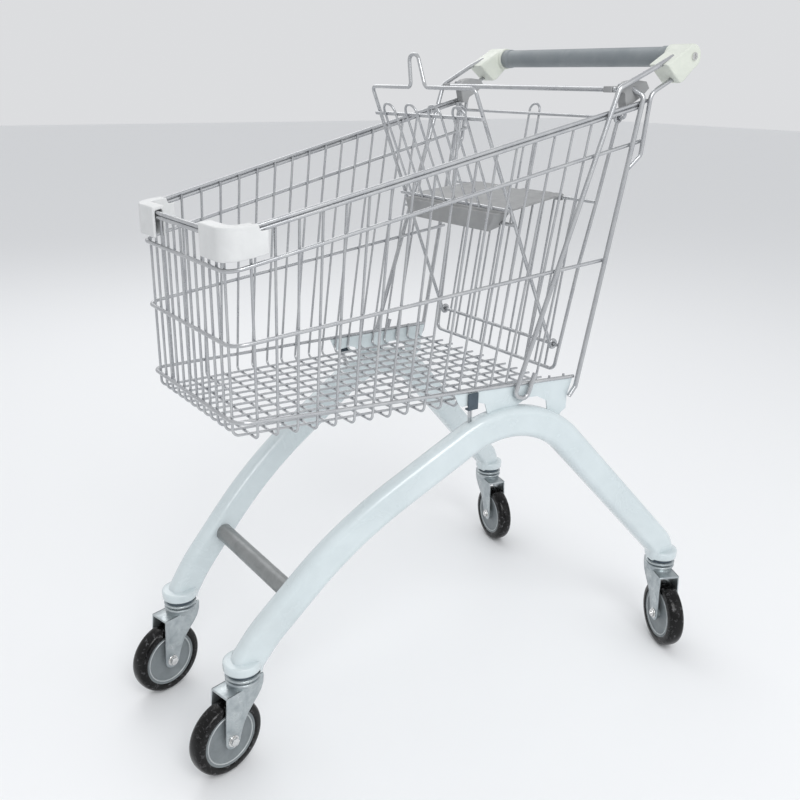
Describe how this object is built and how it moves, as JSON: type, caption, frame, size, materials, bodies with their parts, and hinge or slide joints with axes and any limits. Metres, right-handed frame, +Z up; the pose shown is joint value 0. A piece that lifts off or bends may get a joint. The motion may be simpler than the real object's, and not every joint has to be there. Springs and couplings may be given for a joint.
{
  "type": "shopping cart",
  "caption": "Supermarket shopping cart: tapering wire basket on two arched tubes, swinging rear gate with a folding child seat, corner bumpers, round handle and swivel casters.",
  "frame": {"origin": "on the floor, midway between the vertical stems of the two rear casters", "axes": "+Z up; +Y towards the shopper at the handle, so the basket's nose points along -Y; +X is on the left hand of a shopper who faces the nose"},
  "size_m": [0.6331, 0.9546, 1.0885],
  "materials": {
    "frame_paint": "satin",
    "zinc_wire": "satin",
    "grey_plastic": "satin",
    "bumper_plastic": "satin",
    "dark_plastic": "matte",
    "cap_plastic": "satin",
    "handle_plastic": "satin",
    "bright_metal": "polished",
    "fork_zinc": "satin",
    "hub_plastic": "satin",
    "tyre_black": "satin"
  },
  "bodies": {
    "chassis": {"side_tube_left": "frame_paint", "side_tube_right": "frame_paint", "support_plate_left": "frame_paint", "support_plate_right": "frame_paint", "side_wires_left": "zinc_wire", "side_wires_right": "zinc_wire", "rear_upright_left": "zinc_wire", "rear_upright_right": "zinc_wire", "handle_arms_left": "zinc_wire", "handle_arms_right": "zinc_wire", "bracket_left": "grey_plastic", "bracket_right": "grey_plastic", "bumper_left": "bumper_plastic", "bumper_right": "bumper_plastic", "clip_band_left": "dark_plastic", "clip_band_right": "dark_plastic", "clip_wires_left": "zinc_wire", "clip_wires_right": "zinc_wire", "end_cap_left": "cap_plastic", "end_cap_right": "cap_plastic", "cross_bar": "frame_paint", "ring_lower": "zinc_wire", "ring_middle": "zinc_wire", "ring_upper": "zinc_wire", "rim_wires": "zinc_wire", "front_wires": "zinc_wire", "floor_cross_wires": "zinc_wire", "floor_length_wires": "zinc_wire", "upper_rod": "zinc_wire", "hinge_rod": "zinc_wire", "handle_tube": "frame_paint", "handle_sleeve": "handle_plastic", "cap_screws": "bright_metal"},
    "gate": {"gate_frame": "zinc_wire", "gate_bars": "zinc_wire", "gate_wires": "zinc_wire"},
    "backrest": {"backrest_frame": "zinc_wire", "backrest_bars": "zinc_wire", "backrest_wires": "zinc_wire", "seat_apron": "grey_plastic"},
    "seat": {"seat_plate": "grey_plastic"},
    "caster_front_left": {"fork_front_left": "fork_zinc", "axle_front_left": "bright_metal"},
    "wheel_front_left": {"hub_front_left": "hub_plastic", "tyre_front_left": "tyre_black"},
    "caster_front_right": {"fork_front_right": "fork_zinc", "axle_front_right": "bright_metal"},
    "wheel_front_right": {"hub_front_right": "hub_plastic", "tyre_front_right": "tyre_black"},
    "caster_rear_left": {"fork_rear_left": "fork_zinc", "axle_rear_left": "bright_metal"},
    "wheel_rear_left": {"hub_rear_left": "hub_plastic", "tyre_rear_left": "tyre_black"},
    "caster_rear_right": {"fork_rear_right": "fork_zinc", "axle_rear_right": "bright_metal"},
    "wheel_rear_right": {"hub_rear_right": "hub_plastic", "tyre_rear_right": "tyre_black"}
  },
  "joints": [
    {"name": "gate_hinge", "type": "hinge", "parent": "chassis", "child": "gate", "pos_m": [0, -0.1694, 0.976], "axis": [-1, 0, 0], "range_deg": [0, 70]},
    {"name": "backrest_fold", "type": "hinge", "parent": "gate", "child": "backrest", "pos_m": [0, -0.23028, 0.6025], "axis": [-1, 0, 0], "range_deg": [0, 20]},
    {"name": "seat_fold", "type": "hinge", "parent": "gate", "child": "seat", "pos_m": [0, -0.19083, 0.8445], "axis": [-1, 0, 0], "range_deg": [0, 72]},
    {"name": "swivel_front_left", "type": "hinge", "parent": "chassis", "child": "caster_front_left", "pos_m": [-0.124, -0.826, 0.15], "axis": [0, 0, 1], "continuous": true},
    {"name": "wheel_spin_front_left", "type": "hinge", "parent": "caster_front_left", "child": "wheel_front_left", "pos_m": [-0.11481, -0.86287, 0.0625], "axis": [0.9703, 0.2419, 0], "continuous": true},
    {"name": "swivel_front_right", "type": "hinge", "parent": "chassis", "child": "caster_front_right", "pos_m": [0.124, -0.826, 0.15], "axis": [0, 0, 1], "continuous": true},
    {"name": "wheel_spin_front_right", "type": "hinge", "parent": "caster_front_right", "child": "wheel_front_right", "pos_m": [0.1319, -0.86317, 0.0625], "axis": [0.9781, 0.2079, 0], "continuous": true},
    {"name": "swivel_rear_left", "type": "hinge", "parent": "chassis", "child": "caster_rear_left", "pos_m": [-0.255, 0, 0.15], "axis": [0, 0, 1], "continuous": true},
    {"name": "wheel_spin_rear_left", "type": "hinge", "parent": "caster_rear_left", "child": "wheel_rear_left", "pos_m": [-0.21797, -0.00855, 0.0625], "axis": [0.225, 0.9744, 0], "continuous": true},
    {"name": "swivel_rear_right", "type": "hinge", "parent": "chassis", "child": "caster_rear_right", "pos_m": [0.255, 0, 0.15], "axis": [0, 0, 1], "continuous": true},
    {"name": "wheel_spin_rear_right", "type": "hinge", "parent": "caster_rear_right", "child": "wheel_rear_right", "pos_m": [0.28944, -0.01606, 0.0625], "axis": [0.4226, 0.9063, 0], "continuous": true}
  ],
  "couplings": [
    {"joint": "seat_fold", "follows": "backrest_fold", "ratio": 3.6}
  ]
}
